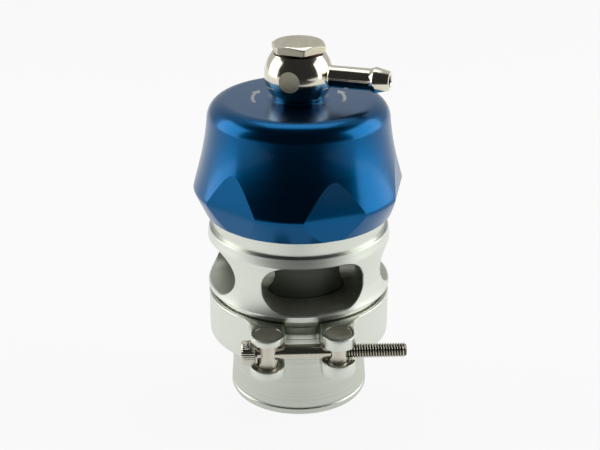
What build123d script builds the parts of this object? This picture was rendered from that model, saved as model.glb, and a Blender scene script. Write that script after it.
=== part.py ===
from build123d import *

import os
from math import cos, radians, sin, sqrt, tan

# Vent-to-air blow-off valve. Millimetres, +Z up, the origin at the centre of the hose end's lower face.
# The front is -Y. An azimuth is counted from the front towards +X.

# Clearances
fit_gap = 0.05
slide_gap = 0.10
body_gap = 0.30
edge_break = 0.4

# Hose end, which carries the valve seat
hose_end_height = 25.8
hose_wall = 2.35
hose_neck_step = 1.75
hose_lip_step = 0.5
hose_foot_step = 0.05
hose_foot_height = 2.2
hose_lip_height = 2.0
hose_lip_fade = 2.8
seat_step = 1.6
seat_width = 0.9
seat_height = 0.7
throat_height = 10.0
throat_top_drop = 6.0
spigot_wall = 3.5
spigot_height = 1.8

# Conical flanges, which the clamp pulls together
flange_reach = 3.9
flange_depth = 2.2
flange_land = 1.4
flange_slope = 20.0

# Ring between the flanges
joint_ring_wire = 1.2
joint_ring_inset = 1.6

# Port housing
housing_bore_radius = 15.2
housing_neck_height = 5.8
rim_step = 1.6
rim_height = 1.8
waist_depth = 1.6
waist_height = 13.6
shoulder_step = 1.5
shoulder_height = 0.9
shoulder_chamfer = 0.75
band_wall = 8.1
band_height = 18.2
port_height = 11.8
port_angle = 75.6
port_flare_angle = 42.0
port_azimuth = 12.2
port_rise = 0.5
cutter_margin = 2.0
pillar_angle = 22.7

# Cap, which screws down over the housing's band
cap_gap = 5.95
cap_lip_wall = 1.8
cap_knee_wall = 5.0
cap_knee_height = 6.75
cap_bell_drop = 2.95
cap_bell_height = 10.2
cap_crown_drop = 4.65
cap_height = 30.45
cap_shoulder_radius = 5.0
cap_cavity_height = 17.7
cap_roof_step = 2.9
cap_roof_thickness = 5.2
cap_collar_radius = 6.9
cap_collar_height = 0.6
cap_collar_sweep = 2.0
facet_count = 6
facet_azimuth = 20.0
facet_knee_depth = 1.4
facet_lip_depth = 0.55
facet_lean = 1.3
facet_height = 9.6
cap_ring_wire = 1.7
cap_ring_height = 8.6

# Piston and its seals
piston_height = 24.2
piston_wall = 2.0
piston_floor = 3.2
face_seal_thickness = 1.5
piston_boss_radius = 5.0
piston_boss_height = 4.6
piston_ring_wire = 1.9
piston_ring_drop = 4.1
guide_ring_height = 1.9
guide_ring_depth = 1.3
guide_ring_drop = 1.1
guide_ring_split = 0.8
retainer_thickness = 1.4
retainer_gap = 0.5
retainer_screw_radius = 2.0
retainer_screw_length = 9.0
retainer_head_radius = 3.6
retainer_head_height = 2.2
retainer_socket_width = 3.0
retainer_socket_depth = 1.5

# Spring and the plate above it
spring_wire = 2.0
spring_turns = 7.5
spring_gap = 1.0
spring_plate_reach = 1.9
spring_plate_thickness = 2.2
spring_pilot_height = 4.0
spring_pilot_hole_radius = 5.0
thrust_washer_thickness = 1.3
thrust_washer_inner_radius = 6.2
thrust_washer_radius = 11.5

# Banjo fitting
banjo_radius = 8.95
banjo_half_height = 5.75
banjo_groove_depth = 1.35
banjo_groove_height = 3.6
banjo_flat_radius = 2.75
barb_azimuth = 73.7
barb_tube_length = 10.15
barb_rise_length = 1.0
barb_land = 0.6
barb_taper_length = 3.4
barb_tube_radius = 2.85
barb_crest_step = 0.45
barb_tip_step = 0.4
barb_hole_radius = 1.4
banjo_bolt_radius = 3.95
banjo_bolt_drill_radius = 1.9
banjo_bolt_port_radius = 1.2
banjo_head_width = 13.0
banjo_head_height = 2.25
banjo_head_azimuth = 13.0
banjo_head_chamfer = 30.0
banjo_washer_thickness = 0.5
banjo_washer_radius = 6.25
lower_washer_rise = 0.15
bolt_end_margin = 0.6

# Clamp ring with its two slotted ears
clamp_wall = 2.2
clamp_top_rise = 5.0
clamp_height = 12.2
clamp_lip_gap = 0.6
clamp_mouth_wall = 0.9
clamp_mouth_drop = 1.5
clamp_groove_gap = 0.4
clamp_edge_break = 0.5
clamp_azimuth = 2.3
clamp_opening = 9.4
ear_wall = 1.05
bolt_clearance = 1.45
ear_foot_rise = 0.8
bolt_drop = 0.5

# Trunnion pins, clamp bolt and washer
pin_head_radius = 3.45
pin_shank_radius = 2.65
pin_dish_depth = 0.35
pin_recess = 0.15
clamp_bolt_radius = 1.95
clamp_bolt_length = 39.2
clamp_head_radius = 3.3
clamp_head_height = 3.6
clamp_socket_width = 3.0
clamp_socket_depth = 2.2
clamp_washer_thickness = 0.5
clamp_washer_radius = 3.3

os.makedirs("parts", exist_ok=True)


def face_of(*points):
    """A closed outline of straight runs in the plane through the valve's axis, as (radius, height)."""
    with BuildSketch(Plane.XZ) as outline:
        with BuildLine():
            Polyline(*points, close=True)
        make_face()
    return outline.sketch


def ring_face(radius, height, wire_radius):
    """The round section of a ring of that wire."""
    with BuildSketch(Plane.XZ) as outline:
        with Locations((radius, height)):
            Circle(wire_radius)
    return outline.sketch


def band(inner, outer, low, high):
    """The section of a plain ring or washer."""
    return face_of((inner, low), (outer, low), (outer, high), (inner, high))


def plane_facing(azimuth, distance=0.0, height=0.0):
    """A plane whose normal points away from the axis at that azimuth, with its local Y up."""
    angle = radians(azimuth)
    outward = Vector(sin(angle), -cos(angle), 0)
    origin = outward * distance + Vector(0, 0, height)
    return Plane(origin=origin, x_dir=(cos(angle), sin(angle), 0), z_dir=outward)


def level_plane(azimuth, height):
    """A level plane whose local -Y points to that azimuth."""
    angle = radians(azimuth)
    return Plane(origin=(0, 0, height), x_dir=(cos(angle), sin(angle), 0), z_dir=(0, 0, 1))


# Radii that follow from the bore and the walls round it
spigot_radius = housing_bore_radius + spigot_wall
flange_radius = spigot_radius + flange_reach
flange_root_radius = flange_radius - flange_depth
joint_ring_radius = spigot_radius + joint_ring_inset
seat_bore_radius = housing_bore_radius - seat_step
hose_neck_radius = flange_root_radius - hose_neck_step
hose_bore_radius = hose_neck_radius - hose_wall
hose_lip_radius = hose_neck_radius + hose_lip_step
hose_foot_radius = hose_neck_radius + hose_foot_step
band_radius = housing_bore_radius + band_wall
rim_radius = band_radius + rim_step
waist_radius = rim_radius - waist_depth
shoulder_radius = band_radius + shoulder_step
cap_bore_radius = band_radius + slide_gap
cap_lip_radius = cap_bore_radius + cap_lip_wall
cap_knee_radius = cap_bore_radius + cap_knee_wall
cap_bell_radius = cap_knee_radius - cap_bell_drop
cap_crown_radius = cap_knee_radius - cap_crown_drop
cap_roof_radius = cap_bore_radius - cap_roof_step
facet_knee_distance = cap_knee_radius - facet_knee_depth
facet_lip_distance = cap_lip_radius - facet_lip_depth
facet_top_distance = facet_knee_distance - facet_lean
piston_radius = housing_bore_radius - body_gap
cup_radius = piston_radius - piston_wall
spring_mean_radius = cup_radius - spring_gap - spring_wire / 2
spring_plate_radius = spring_mean_radius + spring_wire / 2 + spring_plate_reach
banjo_groove_radius = banjo_bolt_radius + banjo_groove_depth
barb_shoulder_reach = banjo_radius + barb_tube_length
barb_crest_reach = barb_shoulder_reach + barb_rise_length
barb_reach = barb_crest_reach + barb_land + barb_taper_length
barb_crest_radius = barb_tube_radius + barb_crest_step
barb_tip_radius = barb_tube_radius - barb_tip_step
clamp_radius = flange_radius + clamp_wall
clamp_lip_radius = flange_root_radius + clamp_lip_gap
clamp_mouth_radius = clamp_radius - clamp_mouth_wall
ear_radius = pin_head_radius + ear_wall
ear_distance = clamp_radius + clamp_bolt_radius + bolt_clearance
head_slot_height = 2 * (clamp_head_radius + body_gap)
thread_slot_height = 2 * (clamp_bolt_radius + body_gap)

# Heights that the pieces share
flange_cone_height = (flange_radius - flange_root_radius) * tan(radians(flange_slope))
seam = hose_end_height
seat_top = seam + spigot_height + seat_height
rim_low = seam + housing_neck_height
rim_high = rim_low + rim_height
waist_high = rim_high + waist_height
shoulder_high = waist_high + shoulder_height
band_low = shoulder_high + shoulder_chamfer
band_high = band_low + band_height
port_middle = (rim_high + waist_high) / 2 + port_rise
cap_low = band_low + cap_gap
cap_knee = cap_low + cap_knee_height
cap_high = cap_low + cap_height
cap_step = cap_low + cap_cavity_height
cap_roof = cap_high - cap_roof_thickness
piston_low = seat_top + face_seal_thickness
piston_high = piston_low + piston_height
spring_low = piston_low + piston_floor
plate_high = cap_roof - thrust_washer_thickness
plate_low = plate_high - spring_plate_thickness
collar_high = cap_high + cap_collar_height
banjo_low = collar_high + lower_washer_rise
banjo_middle = banjo_low + banjo_half_height
banjo_high = banjo_middle + banjo_half_height
head_low = banjo_high + banjo_washer_thickness
head_high = head_low + banjo_head_height
clamp_high = seam + clamp_top_rise
clamp_low = clamp_high - clamp_height
clamp_bolt_height = seam - bolt_drop

# Hose end: a lipped tube with a tapering throat, a valve seat and the lower conical flange
with BuildPart() as hose_adapter:
    throat_low = seam - throat_top_drop - throat_height
    throat_high = seam - throat_top_drop
    lip_high = hose_foot_height + hose_lip_height
    flange_low = seam - flange_land - flange_cone_height
    seat_outer = seat_bore_radius + seat_width
    with BuildSketch(Plane.XZ):
        with BuildLine():
            foot = Line((hose_bore_radius, 0), (hose_foot_radius, 0))
            flare = Line(foot @ 1, (hose_lip_radius, hose_foot_height))
            lip = Line(flare @ 1, (hose_lip_radius, lip_high))
            fade = TangentArc(lip @ 1, (hose_neck_radius, lip_high + hose_lip_fade), tangent=(0, 1))
            neck = Line(fade @ 1, (hose_neck_radius, flange_low - edge_break * 2))
            Polyline(
                neck @ 1,
                (flange_root_radius, flange_low),
                (flange_radius, seam - flange_land),
                (flange_radius, seam),
                (spigot_radius, seam),
                (spigot_radius, seam + spigot_height),
                (seat_outer + seat_height / 2, seam + spigot_height),
                (seat_outer, seat_top),
                (seat_bore_radius + edge_break / 2, seat_top),
                (seat_bore_radius, seat_top - edge_break / 2),
                (seat_bore_radius, throat_high),
                (hose_bore_radius, throat_low),
                foot @ 0,
            )
        make_face()
    revolve(axis=Axis.Z)
    joint_groove_half = joint_ring_wire / 2 + fit_gap
    groove = band(
        joint_ring_radius - joint_groove_half,
        joint_ring_radius + joint_groove_half,
        seam - joint_ring_wire - fit_gap,
        seam,
    )
    revolve(groove, axis=Axis.Z, mode=Mode.SUBTRACT)
hose_adapter.part.label = "hose_adapter"

with BuildPart() as joint_ring:
    ring_middle = seam - joint_ring_wire / 2 - fit_gap / 2
    revolve(ring_face(joint_ring_radius, ring_middle, joint_ring_wire / 2), axis=Axis.Z)
joint_ring.part.label = "joint_ring"

# Each wide port is a slot with round ends, whose end walls draw in towards the axis
rear_port_angle = 360 - 3 * port_angle - 4 * pillar_angle


def port_cutter(azimuth, angle, flare_angle):
    """The slot through the housing's wall at that azimuth, as wide as that angle at the waist."""
    half_width = waist_radius * sin(radians(angle / 2))
    face_distance = waist_radius * cos(radians(angle / 2))
    inner_distance = housing_bore_radius * cos(radians(angle / 2)) - cutter_margin
    outer_distance = rim_radius + cutter_margin
    with BuildPart() as cutter:
        for distance in (inner_distance, outer_distance):
            half = half_width + (distance - face_distance) * tan(radians(flare_angle))
            with BuildSketch(plane_facing(azimuth, distance, port_middle)):
                SlotOverall(2 * half, port_height)
        loft(ruled=True)
    return cutter.part


# Port housing: a waisted body with four slots in its wall and a plain band for the cap
with BuildPart() as port_housing:
    with BuildSketch(Plane.XZ):
        with BuildLine():
            face = Line((spigot_radius + slide_gap, seam), (flange_radius, seam))
            land = Line(face @ 1, (flange_radius, seam + flange_land))
            cone = Line(land @ 1, (flange_root_radius, seam + flange_land + flange_cone_height))
            root = Line(cone @ 1, (flange_root_radius, rim_low))
            under = Line(root @ 1, (rim_radius - edge_break, rim_low))
            corner = Line(under @ 1, (rim_radius, rim_low + edge_break))
            rim = Line(corner @ 1, (rim_radius, rim_high))
            waist = ThreePointArc(rim @ 1, (waist_radius, port_middle), (shoulder_radius, waist_high))
            shoulder = Line(waist @ 1, (shoulder_radius, shoulder_high))
            slope = Line(shoulder @ 1, (shoulder_radius - shoulder_chamfer, band_low))
            ledge = Line(slope @ 1, (band_radius, band_low))
            wall = Line(ledge @ 1, (band_radius, band_high - edge_break))
            Polyline(
                wall @ 1,
                (band_radius - edge_break, band_high),
                (housing_bore_radius + 2 * edge_break, band_high),
                (housing_bore_radius, band_high - 3 * edge_break),
                (housing_bore_radius, seam + spigot_height + slide_gap),
                (spigot_radius + slide_gap, seam + spigot_height + slide_gap),
                face @ 0,
            )
        make_face()
    revolve(axis=Axis.Z)
    for turn in (-1, 0, 1):
        azimuth = port_azimuth + turn * (port_angle + pillar_angle)
        add(port_cutter(azimuth, port_angle, port_flare_angle), mode=Mode.SUBTRACT)
    add(port_cutter(port_azimuth + 180, rear_port_angle, 0), mode=Mode.SUBTRACT)
    cap_groove_half = cap_ring_wire / 2 + fit_gap
    groove = band(
        band_radius - cap_ring_wire + fit_gap,
        band_radius,
        band_low + cap_ring_height - cap_groove_half,
        band_low + cap_ring_height + cap_groove_half,
    )
    revolve(groove, axis=Axis.Z, mode=Mode.SUBTRACT)
port_housing.part.label = "port_housing"

with BuildPart() as cap_seal_ring:
    seal_centre = cap_bore_radius - fit_gap - cap_ring_wire / 2 + fit_gap / 2
    revolve(ring_face(seal_centre, band_low + cap_ring_height, cap_ring_wire / 2 - fit_gap / 2), axis=Axis.Z)
cap_seal_ring.part.label = "cap_seal_ring"

# Facet: a flat that leans in above the cap's knee and follows the cone below it
with BuildPart() as facet_cutter:
    top_slope = (facet_knee_distance - facet_top_distance) / facet_height
    lip_slope = (facet_knee_distance - facet_lip_distance) / cap_knee_height
    facet_top = facet_height + cutter_margin
    facet_foot = cap_knee_height + cutter_margin
    facet_outside = cap_knee_radius + cutter_margin
    with BuildSketch(Plane.XZ):
        with BuildLine():
            Polyline(
                (facet_knee_distance, cap_knee),
                (facet_knee_distance - top_slope * facet_top, cap_knee + facet_top),
                (facet_outside, cap_knee + facet_top),
                (facet_outside, cap_knee - facet_foot),
                (facet_knee_distance - lip_slope * facet_foot, cap_knee - facet_foot),
                close=True,
            )
        make_face()
    extrude(amount=cap_knee_radius / 2, both=True)

# Cap: a bell with a sharp knee, six facets, a threaded skirt inside and a collar for the banjo fitting
with BuildPart() as cap:
    with BuildSketch(Plane.XZ) as cap_section:
        with BuildLine():
            lip = Line((cap_bore_radius + edge_break, cap_low), (cap_lip_radius, cap_low))
            cone = Line(lip @ 1, (cap_knee_radius, cap_knee))
            bell = ThreePointArc(
                cone @ 1, (cap_bell_radius, cap_knee + cap_bell_height), (cap_crown_radius, cap_high)
            )
            Polyline(
                bell @ 1,
                (banjo_bolt_radius + fit_gap, cap_high),
                (banjo_bolt_radius + fit_gap, cap_roof),
                (cap_roof_radius - edge_break * 2, cap_roof),
                (cap_roof_radius, cap_roof - edge_break * 2),
                (cap_roof_radius, cap_step + cap_bore_radius - cap_roof_radius),
                (cap_bore_radius, cap_step),
                (cap_bore_radius, cap_low + edge_break),
                lip @ 0,
            )
        make_face()
        fillet(
            cap_section.vertices().group_by(Axis.Y)[-1].sort_by(Axis.X)[-1], radius=cap_shoulder_radius
        )
    revolve(axis=Axis.Z)
    with PolarLocations(0, facet_count, start_angle=facet_azimuth - 90):
        add(facet_cutter.part, mode=Mode.SUBTRACT)
    with BuildSketch(Plane.XZ):
        with BuildLine():
            top = Line((banjo_washer_radius + slide_gap, collar_high), (cap_collar_radius, collar_high))
            collar_foot = (cap_collar_radius + 2 * cap_collar_height, cap_high - fit_gap)
            sweep_in = RadiusArc(top @ 1, collar_foot, cap_collar_sweep)
            Polyline(
                sweep_in @ 1,
                (banjo_washer_radius + slide_gap, cap_high - fit_gap),
                top @ 0,
            )
        make_face()
    revolve(axis=Axis.Z)
    recess_floor = banjo_low - banjo_washer_thickness
    recess = band(0, banjo_washer_radius + slide_gap, recess_floor, collar_high)
    revolve(recess, axis=Axis.Z, mode=Mode.SUBTRACT)
cap.part.label = "cap"

# Piston: a cup with a screwed boss in its floor and two ring grooves near its open end
piston_ring_middle = piston_high - piston_ring_drop
guide_high = piston_high - guide_ring_drop
guide_low = guide_high - guide_ring_height
with BuildPart() as piston:
    section = face_of(
        (0, piston_low),
        (piston_radius - edge_break, piston_low),
        (piston_radius, piston_low + edge_break),
        (piston_radius, piston_high - edge_break),
        (piston_radius - edge_break, piston_high),
        (cup_radius + edge_break, piston_high),
        (cup_radius, piston_high - edge_break),
        (cup_radius, spring_low),
        (piston_boss_radius, spring_low),
        (piston_boss_radius, spring_low + piston_boss_height - edge_break),
        (piston_boss_radius - edge_break, spring_low + piston_boss_height),
        (0, spring_low + piston_boss_height),
    )
    revolve(section, axis=Axis.Z)
    ring_groove_half = piston_ring_wire / 2 + slide_gap
    ring_groove_floor = housing_bore_radius - fit_gap - piston_ring_wire - fit_gap
    groove = band(
        ring_groove_floor,
        piston_radius + cutter_margin,
        piston_ring_middle - ring_groove_half,
        piston_ring_middle + ring_groove_half,
    )
    revolve(groove, axis=Axis.Z, mode=Mode.SUBTRACT)
    groove = band(piston_radius - guide_ring_depth, piston_radius + cutter_margin, guide_low, guide_high)
    revolve(groove, axis=Axis.Z, mode=Mode.SUBTRACT)
    screw_depth = retainer_screw_length - retainer_thickness - face_seal_thickness + edge_break
    with Locations(Plane.XY.offset(piston_low)):
        Cylinder(
            retainer_screw_radius + fit_gap,
            screw_depth,
            align=(Align.CENTER, Align.CENTER, Align.MIN),
            mode=Mode.SUBTRACT,
        )
piston.part.label = "piston"

with BuildPart() as piston_ring:
    ring_centre = housing_bore_radius - fit_gap - piston_ring_wire / 2
    revolve(ring_face(ring_centre, piston_ring_middle, piston_ring_wire / 2), axis=Axis.Z)
piston_ring.part.label = "piston_ring"

# The guide ring is split so that it can be sprung into its groove
with BuildPart() as guide_ring:
    section = band(
        piston_radius - guide_ring_depth + fit_gap,
        housing_bore_radius - slide_gap + fit_gap / 2,
        guide_low + fit_gap,
        guide_high - fit_gap,
    )
    revolve(section, axis=Axis.Z)
    with Locations((0, housing_bore_radius, guide_low + guide_ring_height / 2)):
        Box(guide_ring_split, 4 * guide_ring_depth, 2 * guide_ring_height, mode=Mode.SUBTRACT)
guide_ring.part.label = "guide_ring"

# Face seal: a flat disc that closes on the seat, held by a plate and one screw
retainer_radius = seat_bore_radius - retainer_gap
retainer_low = seat_top - retainer_thickness
with BuildPart() as face_seal:
    seal_radius = piston_radius - edge_break
    section = band(retainer_screw_radius + fit_gap, seal_radius, seat_top, piston_low)
    revolve(section, axis=Axis.Z)
face_seal.part.label = "face_seal"

with BuildPart() as seal_retainer:
    section = face_of(
        (retainer_screw_radius + fit_gap, retainer_low),
        (retainer_radius - edge_break, retainer_low),
        (retainer_radius, retainer_low + edge_break),
        (retainer_radius, seat_top),
        (retainer_screw_radius + fit_gap, seat_top),
    )
    revolve(section, axis=Axis.Z)
seal_retainer.part.label = "seal_retainer"

with BuildPart() as retainer_screw:
    head_foot = retainer_low - retainer_head_height
    section = face_of(
        (0, head_foot),
        (retainer_head_radius - edge_break, head_foot),
        (retainer_head_radius, head_foot + edge_break),
        (retainer_head_radius, retainer_low),
        (retainer_screw_radius, retainer_low),
        (retainer_screw_radius, retainer_low + retainer_screw_length - edge_break),
        (retainer_screw_radius - edge_break, retainer_low + retainer_screw_length),
        (0, retainer_low + retainer_screw_length),
    )
    revolve(section, axis=Axis.Z)
    with BuildSketch(Plane.XY.offset(head_foot)):
        RegularPolygon(retainer_socket_width / 2, 6, major_radius=False)
    extrude(amount=retainer_socket_depth, mode=Mode.SUBTRACT)
retainer_screw.part.label = "retainer_screw"

# Spring: open coils with ground ends between the piston's floor and the spring plate
spring_length = plate_low - spring_low
with BuildPart() as spring:
    with BuildLine(Plane.XY.offset(spring_low)):
        coil = Helix(pitch=spring_length / spring_turns, height=spring_length, radius=spring_mean_radius)
    with BuildSketch(Plane(origin=coil @ 0, z_dir=coil % 0)):
        Circle(spring_wire / 2)
    sweep(path=coil, is_frenet=True)
    with Locations((0, 0, spring_low + spring_length / 2)):
        Cylinder(spring_mean_radius + spring_wire, spring_length, mode=Mode.INTERSECT)
spring.part.label = "spring"

with BuildPart() as spring_plate:
    pilot_radius = spring_mean_radius - spring_wire / 2 - body_gap
    pilot_low = plate_low - spring_pilot_height
    section = face_of(
        (spring_pilot_hole_radius, pilot_low),
        (pilot_radius - edge_break, pilot_low),
        (pilot_radius, pilot_low + edge_break),
        (pilot_radius, plate_low),
        (spring_plate_radius, plate_low),
        (spring_plate_radius, plate_high - edge_break),
        (spring_plate_radius - edge_break, plate_high),
        (spring_pilot_hole_radius, plate_high),
    )
    revolve(section, axis=Axis.Z)
spring_plate.part.label = "spring_plate"

with BuildPart() as thrust_washer:
    revolve(band(thrust_washer_inner_radius, thrust_washer_radius, plate_high, cap_roof), axis=Axis.Z)
thrust_washer.part.label = "thrust_washer"

# Banjo fitting: a ball with two flats, a ring of air round the bolt, and a barbed spout
with BuildPart() as banjo_body:
    with Locations((0, 0, banjo_middle)):
        Sphere(banjo_radius)
    spout_plane = plane_facing(barb_azimuth, 0, banjo_middle)
    spout_line = Axis(origin=spout_plane.origin, direction=spout_plane.z_dir)
    with BuildSketch(Plane(origin=spout_plane.origin, x_dir=spout_plane.z_dir, z_dir=(0, 0, 1))):
        with BuildLine():
            Polyline(
                (banjo_groove_radius, 0),
                (banjo_groove_radius, barb_tube_radius),
                (barb_shoulder_reach, barb_tube_radius),
                (barb_crest_reach, barb_crest_radius),
                (barb_crest_reach + barb_land, barb_crest_radius),
                (barb_reach - edge_break / 2, barb_tip_radius),
                (barb_reach, barb_tip_radius - edge_break / 2),
                (barb_reach, 0),
                close=True,
            )
        make_face()
    revolve(axis=spout_line)
    with Locations((0, 0, banjo_middle)):
        Box(
            4 * banjo_radius + 4 * barb_reach,
            4 * banjo_radius + 4 * barb_reach,
            2 * banjo_half_height,
            mode=Mode.INTERSECT,
        )
        Cylinder(banjo_bolt_radius + slide_gap, 2 * banjo_half_height, mode=Mode.SUBTRACT)
        Cylinder(banjo_groove_radius, banjo_groove_height, mode=Mode.SUBTRACT)
    with BuildSketch(spout_plane):
        Circle(barb_hole_radius)
    extrude(amount=barb_reach + cutter_margin, mode=Mode.SUBTRACT)
    flat_distance = sqrt(banjo_radius**2 - banjo_flat_radius**2)
    with BuildSketch(plane_facing(barb_azimuth - 90, flat_distance, banjo_middle)):
        Circle(banjo_radius)
    extrude(amount=banjo_radius, mode=Mode.SUBTRACT)
banjo_body.part.label = "banjo_body"

# Banjo bolt: a hollow, cross-drilled screw under a low hexagon head
bolt_low = cap_roof + bolt_end_margin
with BuildPart() as banjo_bolt:
    with BuildSketch(Plane.XY.offset(head_low)):
        RegularPolygon(
            banjo_head_width / 2, 6, major_radius=False, rotation=banjo_head_azimuth - 90
        )
    extrude(amount=banjo_head_height)
    corner_radius = banjo_head_width / sqrt(3)
    top_radius = banjo_head_width / 2 - slide_gap
    chamfer_drop = (corner_radius - top_radius) * tan(radians(banjo_head_chamfer))
    dome = face_of(
        (0, head_low),
        (corner_radius, head_low),
        (corner_radius, head_high - chamfer_drop),
        (top_radius, head_high),
        (0, head_high),
    )
    revolve(dome, axis=Axis.Z, mode=Mode.INTERSECT)
    shank = face_of(
        (0, bolt_low),
        (banjo_bolt_radius - edge_break, bolt_low),
        (banjo_bolt_radius, bolt_low + edge_break),
        (banjo_bolt_radius, head_low),
        (0, head_low),
    )
    revolve(shank, axis=Axis.Z)
    drill_depth = banjo_middle + banjo_groove_height / 2 - bolt_low
    with Locations(Plane.XY.offset(bolt_low)):
        Cylinder(
            banjo_bolt_drill_radius,
            drill_depth,
            align=(Align.CENTER, Align.CENTER, Align.MIN),
            mode=Mode.SUBTRACT,
        )
    with Locations(plane_facing(barb_azimuth, 0, banjo_middle)):
        Cylinder(banjo_bolt_port_radius, 4 * banjo_bolt_radius, mode=Mode.SUBTRACT)
banjo_bolt.part.label = "banjo_bolt"

with BuildPart() as lower_banjo_washer:
    section = band(banjo_bolt_radius + slide_gap, banjo_washer_radius, recess_floor, banjo_low)
    revolve(section, axis=Axis.Z)
lower_banjo_washer.part.label = "lower_banjo_washer"

with BuildPart() as upper_banjo_washer:
    section = band(banjo_bolt_radius + slide_gap, banjo_washer_radius, banjo_high, head_low)
    revolve(section, axis=Axis.Z)
upper_banjo_washer.part.label = "upper_banjo_washer"

# Clamp ring: a split ring with a conical groove, and on each end a slotted ear for a trunnion pin
cone_rise = tan(radians(flange_slope))
lip_rise = flange_land + (flange_radius - clamp_lip_radius) * cone_rise + fit_gap
groove_radius = flange_radius + clamp_groove_gap
groove_rise = flange_land - clamp_groove_gap * cone_rise + fit_gap
ear_top = clamp_high
ear_foot = clamp_low + ear_foot_rise
gap_half = clamp_opening / 2
half_spacing = gap_half + ear_radius
head_slot = (clamp_bolt_height - head_slot_height / 2, clamp_bolt_height + head_slot_height / 2)
thread_slot = (clamp_bolt_height - thread_slot_height / 2, clamp_bolt_height + thread_slot_height / 2)

with BuildPart() as clamp_ring:
    section = face_of(
        (clamp_lip_radius, clamp_low + clamp_edge_break),
        (clamp_lip_radius + clamp_edge_break, clamp_low),
        (clamp_radius - clamp_edge_break, clamp_low),
        (clamp_radius, clamp_low + clamp_edge_break),
        (clamp_radius, clamp_high - clamp_edge_break / 2),
        (clamp_radius - clamp_edge_break / 2, clamp_high),
        (clamp_mouth_radius, clamp_high),
        (clamp_lip_radius, clamp_high - clamp_mouth_drop),
        (clamp_lip_radius, seam + lip_rise),
        (groove_radius, seam + groove_rise),
        (groove_radius, seam - groove_rise),
        (clamp_lip_radius, seam - lip_rise),
    )
    revolve(section, axis=Axis.Z)
    for side, slot in ((-1, head_slot), (1, thread_slot)):
        for low, high in ((ear_foot, slot[0]), (slot[1], ear_top)):
            with BuildSketch(level_plane(clamp_azimuth, low)):
                with Locations((side * half_spacing, -ear_distance / 2)):
                    Rectangle(2 * ear_radius, ear_distance)
                with Locations((side * half_spacing, -ear_distance)):
                    Circle(ear_radius)
                Circle(groove_radius + clamp_edge_break, mode=Mode.SUBTRACT)
            extrude(amount=high - low)
    with BuildSketch(level_plane(clamp_azimuth, clamp_low)):
        with Locations((0, -clamp_radius)):
            Rectangle(2 * gap_half, 2 * clamp_radius - 2 * ear_radius)
    extrude(amount=clamp_height, mode=Mode.SUBTRACT)
    with BuildSketch(level_plane(clamp_azimuth, clamp_bolt_height)):
        with Locations((-half_spacing, -ear_distance), (half_spacing, -ear_distance)):
            Circle(pin_head_radius + slide_gap)
    extrude(amount=clamp_height, mode=Mode.SUBTRACT)
    with BuildSketch(level_plane(clamp_azimuth, clamp_low)):
        with Locations((-half_spacing, -ear_distance), (half_spacing, -ear_distance)):
            Circle(pin_shank_radius + slide_gap)
    extrude(amount=clamp_bolt_height - clamp_low, mode=Mode.SUBTRACT)
clamp_ring.part.label = "clamp_ring"


def trunnion_pin(side, slot, hole_radius):
    """A headed pin that stands in one ear, cross-drilled for the clamp bolt."""
    angle = radians(clamp_azimuth)
    x = side * half_spacing * cos(angle) + ear_distance * sin(angle)
    y = side * half_spacing * sin(angle) - ear_distance * cos(angle)
    top = ear_top - pin_recess
    dish_edge = pin_head_radius - edge_break / 2
    dish_radius = (dish_edge**2 + pin_dish_depth**2) / (2 * pin_dish_depth)
    with BuildPart() as pin:
        section = face_of(
            (0, ear_foot),
            (pin_shank_radius - edge_break / 2, ear_foot),
            (pin_shank_radius, ear_foot + edge_break / 2),
            (pin_shank_radius, slot[1]),
            (pin_head_radius, slot[1]),
            (pin_head_radius, top),
            (0, top),
        )
        revolve(section, axis=Axis.Z)
        with Locations((0, 0, top - pin_dish_depth + dish_radius)):
            Sphere(dish_radius, mode=Mode.SUBTRACT)
        with Locations(Plane(origin=(0, 0, clamp_bolt_height), z_dir=(cos(angle), sin(angle), 0))):
            Cylinder(hole_radius, 4 * pin_head_radius, mode=Mode.SUBTRACT)
    return Location((x, y, 0)) * pin.part


plain_trunnion = trunnion_pin(-1, head_slot, clamp_bolt_radius + slide_gap)
plain_trunnion.label = "plain_trunnion"
threaded_trunnion = trunnion_pin(1, thread_slot, clamp_bolt_radius + fit_gap)
threaded_trunnion.label = "threaded_trunnion"

# Clamp bolt and washer, along the line through both trunnion pins
bolt_angle = radians(clamp_azimuth)
bolt_direction = Vector(cos(bolt_angle), sin(bolt_angle), 0)
bolt_origin = Vector(ear_distance * sin(bolt_angle), -ear_distance * cos(bolt_angle), clamp_bolt_height)
washer_start = bolt_origin - bolt_direction * (half_spacing + pin_shank_radius + clamp_washer_thickness)
washer_plane = Plane(origin=washer_start, x_dir=(0, 0, 1), z_dir=bolt_direction)
head_plane = washer_plane.offset(-fit_gap)

with BuildPart() as clamp_washer:
    with BuildSketch(washer_plane):
        Circle(clamp_washer_radius)
        Circle(clamp_bolt_radius + slide_gap, mode=Mode.SUBTRACT)
    extrude(amount=clamp_washer_thickness)
clamp_washer.part.label = "clamp_washer"

with BuildPart() as clamp_bolt:
    with BuildSketch(head_plane):
        Circle(clamp_bolt_radius)
    extrude(amount=clamp_bolt_length)
    chamfer(clamp_bolt.faces().sort_by(Axis.X)[-1].edges(), length=edge_break)
    with BuildSketch(head_plane):
        Circle(clamp_head_radius)
    extrude(amount=-clamp_head_height)
    chamfer(clamp_bolt.faces().sort_by(Axis.X)[0].edges(), length=edge_break)
    with BuildSketch(head_plane.offset(-clamp_head_height)):
        RegularPolygon(clamp_socket_width / 2, 6, major_radius=False)
    extrude(amount=clamp_socket_depth, mode=Mode.SUBTRACT)
clamp_bolt.part.label = "clamp_bolt"

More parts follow.
